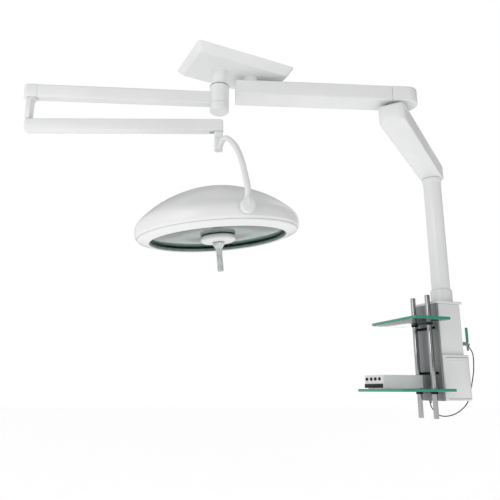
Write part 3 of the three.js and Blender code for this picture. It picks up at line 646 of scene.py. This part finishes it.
def pendant_arms():
    bar("main_beam_body", (-72, 686.7), BEAM_WIDTH, BEAM_HEIGHTS, 9, WHITE, AT_BEAM, "beam", ("main_beam",),
        lip=3.0)
    bm = bmesh.new()
    prism(bm, rounded_end(687.3, 767, BEAM_WIDTH / 2), *BEAM_HEIGHTS, 6.0)
    finish_mesh("main_beam_elbow_cap", bm, WHITE, AT_BEAM, "beam", ("beam_elbow_end",))
    slab("second_arm_body", (-64, 878.3), (-64, 64), (-256, -164), 28, WHITE, AT_ELBOW, "second_arm",
         ("second_arm",), lip=10.0)
    turned("elbow_bearing_ring", [(0, -229), (17, -229), (17, -163.7), (45, -163.7), (45, -146.3), (18, -146.3),
                                  (18, -83), (0, -83)], GREY, AT_ELBOW, "second_arm", ("elbow_shaft",),
           "grey_anodised", radius=1.2)


# ---------------------------------------------------------------- pendant: service head
HEAD_TOP, HEAD_SEAM, HEAD_BOTTOM = -1035, -1317, -1561
UNDER_TOP = HEAD_TOP - 0.3
POLE_X = -150
POLE_SIDES = (("near", -62), ("far", 68))
POLE_BOTTOM, POLE_TOP = -1653, -988


def service_head():
    body = "service_head"

    def panel(name, x, y, z, corner, material, node, lip):
        return slab(name, x, y, z, corner, material, AT_HEAD, body, (node,), lip=lip)

    turned("drop_tube_smooth", [(46, -939.7), (51, -939.7), (51, -280), (56, -278), (56, -258), (51, -258),
                                (51, -245), (46, -245)], WHITE, AT_HEAD, body, ("drop_tube",), "white_enamel",
           radius=1.5, loop=True)
    bm = bmesh.new()
    prism(bm, rounded_outline(-117, 62, -95, 95, 10), HEAD_TOP, HEAD_TOP + 14, 3.0)
    lathe(bm, [(0, -1030), (58, -1030), (60, -1000), (60, -946), (55, -940), (0, -940)], 96, (0, 0, 0), "Z",
          3 * MM)
    finish_mesh("head_top_and_collar", bm, WHITE, AT_HEAD, body, ("head_top_plate",))
    panel("grey_panel", (-117, -107.3), (-95, 112), (HEAD_BOTTOM, UNDER_TOP), 3, GREY,
          "grey_side_panel", 1.2)
    panel("upper_housing_cover", (-107, 50), (-87, -53.3), (HEAD_SEAM + 0.3, UNDER_TOP), 9, WHITE,
          "upper_housing", 3)
    panel("right_side_cover", (20.3, 50), (-53, 91), (HEAD_BOTTOM + 10, UNDER_TOP), 6, WHITE,
          "right_side_panel", 2)
    housing = panel("lower_housing_cover", (-107, 62), (-109, -53.3), (HEAD_BOTTOM, HEAD_SEAM), 10, WHITE,
                    "lower_housing", 4)
    cut_holes(housing, [box_tool(AT_HEAD, (-97.3, 52.3, -140, -67, -1551, -1331))])
    door = slab("service_door_panel", (-96.7, 51.7), (-109, -103), (-1549, -1333), 2, WHITE, AT_HEAD,
                "service_door", ("service_door",), lip=1.2)
    cut_holes(door, [cutter(4.0, (-66, -110.5, -1345), (21, -110.5, -1345), AT_HEAD, 32)])
    for side, y in POLE_SIDES:
        bm = bmesh.new()
        rod(bm, 14, (POLE_X, y, POLE_BOTTOM), (POLE_X, y, POLE_TOP), 64, 2.5)
        finish_mesh(f"pole_{side}_tube", bm, STEEL, AT_HEAD, body, (f"pole_{side}",))
    for level, z in (("upper", -1169), ("lower", -1414)):
        bm = bmesh.new()
        prism(bm, rounded_outline(-123.3, -117.4, -62, 68, 2), z - 7, z + 7, 1.0)
        for _, y in POLE_SIDES:
            rod(bm, 7, (POLE_X + 12, y, z), (-119, y, z), 32, 0.5)
        finish_mesh(f"pole_bracket_{level}_stubs", bm, BLACK, AT_HEAD, body, (f"pole_bracket_{level}",))
    bm = bmesh.new()
    prism(bm, rounded_outline(97.3, 104, -69, -53, 1), -1242, -1161, 0.6)
    finish_mesh("side_glass_plate", bm, GLASS_EDGE, AT_HEAD, body, ("side_glass_tag",))


SHELF_THICK = 15
UPPER_SHELF_TOP, LOWER_SHELF_TOP = -1126, -1498
DEVICE_WIDTH = 186


def shelf(level, x0, y1, top):
    """A glass shelf with its own green edge, and the clamps that hold it on the poles."""
    body = f"{level}_shelf"
    low = top - SHELF_THICK
    plate = slab(f"{level}_shelf_glass", (x0, -120), (-206, y1), (low, top), 6, GLASS, AT_HEAD, body,
                 (f"{level}_glass_shelf",), lip=1.0)
    cut_holes(plate, [cutter(17, (POLE_X, y, low - 5), (POLE_X, y, top + 5), AT_HEAD)
                      for _, y in POLE_SIDES])
    plate.data.materials.append(GLASS_EDGE)
    for face in plate.data.polygons:
        if abs(face.normal.z) < 0.8:
            face.material_index = 1
    bm = bmesh.new()
    for _, y in POLE_SIDES:
        lathe(bm, [(14.6, low - 13), (19, low - 13), (19, low - 0.3), (14.6, low - 0.3)], 64, (POLE_X, y, 0),
              "Z", 1.2 * MM, loop=True)
    prism(bm, rounded_outline(-153, -147, -44, 50, 2), low - 4, low - 0.3, 0.8)
    finish_mesh(f"{level}_shelf_clamps", bm, BLACK, AT_HEAD, body, (f"{level}_shelf_clamp",))


def device():
    base = LOWER_SHELF_TOP + 0.3
    bm = bmesh.new()
    prism(bm, rounded_outline(-426, -172, 0, DEVICE_WIDTH, 3), base + 5, base + 73, 2.0)
    prism(bm, rounded_outline(-416, -186, 14, 172, 3), base, base + 6, 0.8)
    finish_mesh("device_housing", bm, WHITE, AT_HEAD, "lower_shelf", ("device_case",))
    bm = bmesh.new()
    prism(bm, rounded_outline(-430, -426.4, 3, 183, 1.5), base + 5, base + 26, 0.5)
    for t in (0.16, 0.38, 0.6, 0.84):
        y = t * DEVICE_WIDTH
        rod(bm, 8.5, (-434, y, base + 52), (-426.2, y, base + 52), 40, 0.8)
    finish_mesh("device_sockets", bm, BLACK, AT_HEAD, "lower_shelf", ("device_front",))
    bm = bmesh.new()
    prism(bm, rounded_outline(-427.5, -426.1, 3, 183, 0.6), base + 30, base + 71, 0.3)
    finish_mesh("device_fascia", bm, WHITE, AT_HEAD, "lower_shelf", ())


ceiling_mount()
extension_arm()
spring_arm()
yoke()
lamp_head()
pendant_arms()
service_head()
shelf("upper", -344, 212, UPPER_SHELF_TOP)
shelf("lower", -452, 222, LOWER_SHELF_TOP)
device()

# CAD nodes that keep their shape take the finished materials.
for name, node in frame["nodes"].items():
    node.data.materials.clear()
    node.data.materials.append(LOOKS[SLOT_OF[name]])


# ---------------------------------------------------------------- stage
def sky(tree, stops, strength):
    """A background whose grey changes from left (0) to right (1)."""
    coords = tree.nodes.new("ShaderNodeTexCoord")
    parts = tree.nodes.new("ShaderNodeSeparateXYZ")
    half = tree.nodes.new("ShaderNodeMapRange")
    half.inputs["From Min"].default_value = -1
    ramp = tree.nodes.new("ShaderNodeValToRGB")
    for i, (place, grey) in enumerate(stops):
        stop = ramp.color_ramp.elements[i] if i < 2 else ramp.color_ramp.elements.new(place)
        stop.position = place
        stop.color = (grey, grey, grey, 1)
    background = tree.nodes.new("ShaderNodeBackground")
    background.inputs["Strength"].default_value = strength
    tree.links.new(coords.outputs["Generated"], parts.inputs["Vector"])
    tree.links.new(parts.outputs["X"], half.inputs["Value"])
    tree.links.new(half.outputs["Result"], ramp.inputs["Fac"])
    tree.links.new(ramp.outputs["Color"], background.inputs["Color"])
    return background


def studio_world():
    """White behind everything, soft light mostly from the left, and dark strips for metal to reflect."""
    world = bpy.data.worlds.new("studio")
    bpy.context.scene.world = world
    world.use_nodes = True
    tree = world.node_tree
    behind = tree.nodes["Background"]
    behind.inputs["Color"].default_value = (1, 1, 1, 1)
    behind.inputs["Strength"].default_value = 1.0
    soft = sky(tree, [(0.0, 0.86), (1.0, 0.66)], 0.74)
    strips = sky(tree, [(0.0, 0.95), (0.22, 1.0), (0.34, 0.08), (0.58, 0.06), (0.64, 1.0), (0.74, 0.9),
                        (0.82, 0.10), (1.0, 0.20)], 1.0)
    path = tree.nodes.new("ShaderNodeLightPath")
    seen = tree.nodes.new("ShaderNodeMixShader")
    light = tree.nodes.new("ShaderNodeMixShader")
    tree.links.new(path.outputs["Is Glossy Ray"], light.inputs["Fac"])
    tree.links.new(soft.outputs["Background"], light.inputs[1])
    tree.links.new(strips.outputs["Background"], light.inputs[2])
    tree.links.new(path.outputs["Is Camera Ray"], seen.inputs["Fac"])
    tree.links.new(light.outputs["Shader"], seen.inputs[1])
    tree.links.new(behind.outputs["Background"], seen.inputs[2])
    tree.links.new(seen.outputs["Shader"], tree.nodes["World Output"].inputs["Surface"])


def make_stage():
    bm = bmesh.new()
    bmesh.ops.create_grid(bm, x_segments=1, y_segments=1, size=40)
    floor = add_object("floor", bm)
    floor.location = (0, 0, FLOOR_Z)
    material, tree, shader = node_material("pale_floor", (0.93, 0.93, 0.93), 0.8)
    tint(tree, shader, noise(tree, 2.0), (0.92, 0.92, 0.92), (0.94, 0.94, 0.94))
    shader.inputs["Emission Color"].default_value = (1, 1, 1, 1)
    shader.inputs["Emission Strength"].default_value = 0.47
    floor.data.materials.append(material)
    studio_world()
    for name, place, size, power in AREA_LIGHTS:
        data = bpy.data.lights.new(name, "AREA")
        data.size = size
        data.energy = power
        lamp = bpy.data.objects.new(name, data)
        bpy.context.scene.collection.objects.link(lamp)
        lamp.location = place
        lamp.rotation_euler = (LIGHTS_AIM - Vector(place)).to_track_quat("-Z", "Y").to_euler()
    bpy.context.scene.view_settings.view_transform = "Standard"


make_stage()
